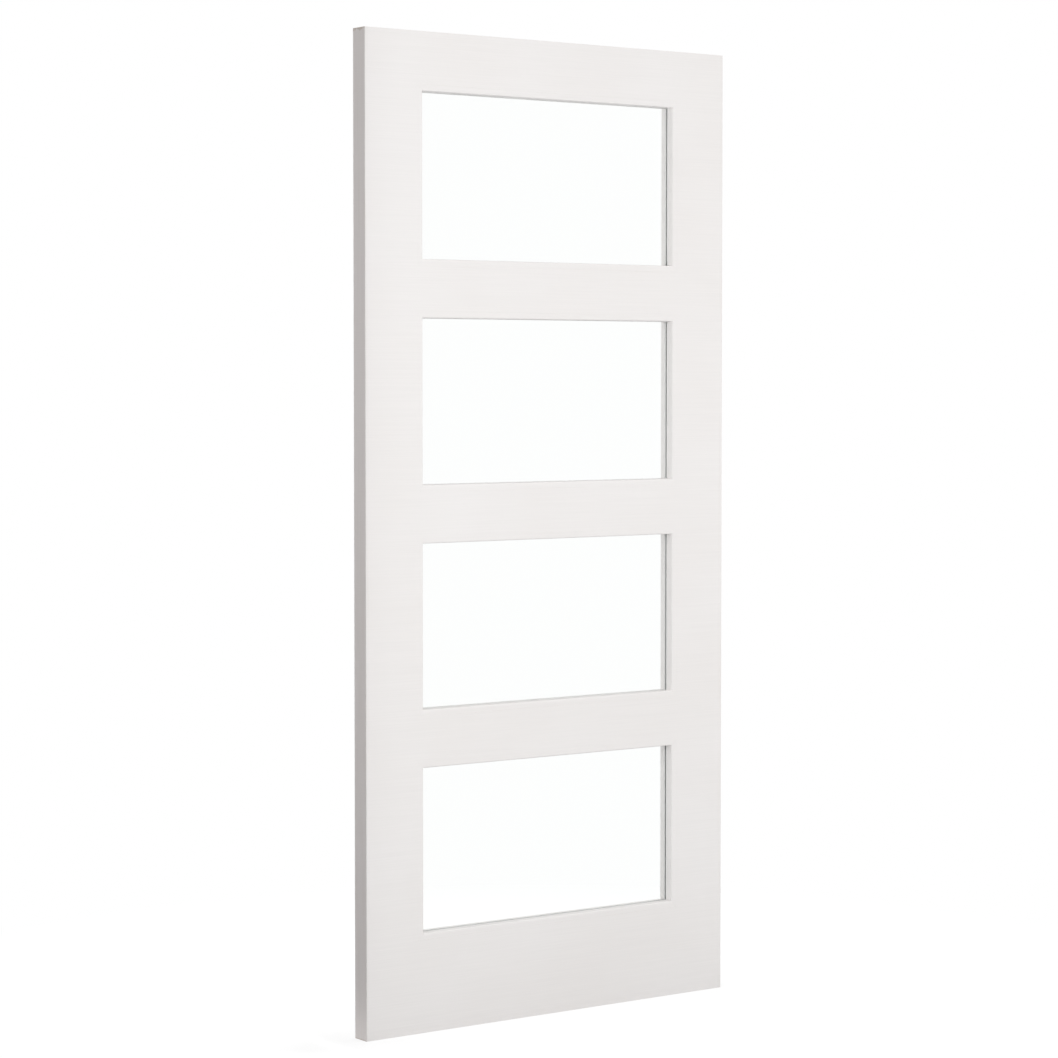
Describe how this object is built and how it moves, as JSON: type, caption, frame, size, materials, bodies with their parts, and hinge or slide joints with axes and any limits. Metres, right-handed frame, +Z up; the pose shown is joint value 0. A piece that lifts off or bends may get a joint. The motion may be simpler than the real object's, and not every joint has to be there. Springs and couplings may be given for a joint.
{
  "type": "glazed fire door leaf",
  "caption": "Flat white primed timber fire door leaf with clear fire-glass lights set between mitred beads, hung on its long edge.",
  "frame": {"origin": "on the hanging edge at its foot, in the middle of the leaf's thickness", "axes": "+X runs across the leaf from the hanging edge to the lock edge, -Y is the way the front face looks, +Z is up"},
  "size_m": [0.926, 0.044, 2.04],
  "materials": {
    "primed_facing": "white primer, satin",
    "primed_bead": "white primer, satin",
    "primed_lipping": "white primer over hardwood",
    "engineered_timber_core": "raw timber, seen at the top and bottom ends",
    "clear_fire_glass": "clear, polished",
    "glazing_gasket": "off-white, matt"
  },
  "bodies": {
    "root": {"bottom_rail_back_facing": "primed_facing", "bottom_rail_core": "engineered_timber_core", "bottom_rail_front_facing": "primed_facing", "hanging_edge_lipping": "primed_lipping", "hanging_stile_back_facing": "primed_facing", "hanging_stile_core": "engineered_timber_core", "hanging_stile_front_facing": "primed_facing", "light_1_back_beads": "primed_bead", "light_1_front_beads": "primed_bead", "light_1_gasket": "glazing_gasket", "light_1_glass": "clear_fire_glass", "light_2_back_beads": "primed_bead", "light_2_front_beads": "primed_bead", "light_2_gasket": "glazing_gasket", "light_2_glass": "clear_fire_glass", "light_3_back_beads": "primed_bead", "light_3_front_beads": "primed_bead", "light_3_gasket": "glazing_gasket", "light_3_glass": "clear_fire_glass", "light_4_back_beads": "primed_bead", "light_4_front_beads": "primed_bead", "light_4_gasket": "glazing_gasket", "light_4_glass": "clear_fire_glass", "lock_edge_lipping": "primed_lipping", "lock_stile_back_facing": "primed_facing", "lock_stile_core": "engineered_timber_core", "lock_stile_front_facing": "primed_facing", "lower_rail_back_facing": "primed_facing", "lower_rail_core": "engineered_timber_core", "lower_rail_front_facing": "primed_facing", "middle_rail_back_facing": "primed_facing", "middle_rail_core": "engineered_timber_core", "middle_rail_front_facing": "primed_facing", "top_rail_back_facing": "primed_facing", "top_rail_core": "engineered_timber_core", "top_rail_front_facing": "primed_facing", "upper_rail_back_facing": "primed_facing", "upper_rail_core": "engineered_timber_core", "upper_rail_front_facing": "primed_facing"}
  },
  "joints": []
}
